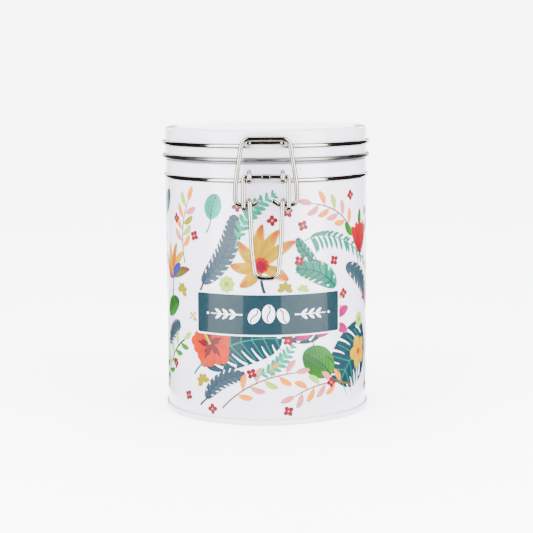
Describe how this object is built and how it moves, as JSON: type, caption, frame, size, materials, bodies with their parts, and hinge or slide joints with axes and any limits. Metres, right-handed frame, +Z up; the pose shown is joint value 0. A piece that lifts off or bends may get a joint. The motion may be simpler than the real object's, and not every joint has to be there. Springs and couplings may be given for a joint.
{
  "type": "clip-top storage tin",
  "caption": "Round enamelled tinplate storage tin with a hinged lid, a silicone seal and a wire lever-and-bail closure.",
  "frame": {"origin": "centre of the base seam's underside, on the tin's axis", "axes": "+Z up along the tin's axis, -Y towards the closure at the front, +Y towards the hinge, +X to the right seen from the front"},
  "size_m": [0.1116, 0.128, 0.152],
  "materials": {
    "enamel": "glossy white enamel, printed with plants on the body",
    "wire": "polished drawn steel wire",
    "bare_rim": "bare rolled tinplate edge, satin",
    "seal": "matt translucent white silicone",
    "print": "glossy printed inks and label band"
  },
  "bodies": {
    "tin": {"body_wall": "enamel", "base_plate": "enamel", "body_wire": "wire", "hinge_wire": "wire"},
    "lid": {"lid_shell": "enamel", "lid_rim": "bare_rim", "lid_gasket": "seal", "lid_wire": "wire"},
    "lever": {"lever_yoke": "wire", "lever_handle": "wire", "lever_ferrule": "wire"},
    "bail": {"bail": "wire"}
  },
  "joints": [
    {"name": "lid_hinge", "type": "hinge", "parent": "tin", "child": "lid", "pos_m": [0, 0.0595, 0.136], "axis": [-1, 0, 0], "range_deg": [0, 105]},
    {"name": "lever_pivot", "type": "hinge", "parent": "tin", "child": "lever", "pos_m": [0, -0.0604, 0.1287], "axis": [-1, 0, 0], "range_deg": [0, 150]},
    {"name": "bail_pivot", "type": "hinge", "parent": "lever", "child": "bail", "pos_m": [0, -0.0579, 0.1144], "axis": [1, 0, 0], "range_deg": [0, 150]}
  ],
  "couplings": [
    {"joint": "bail_pivot", "follows": "lever_pivot", "ratio": 1}
  ]
}
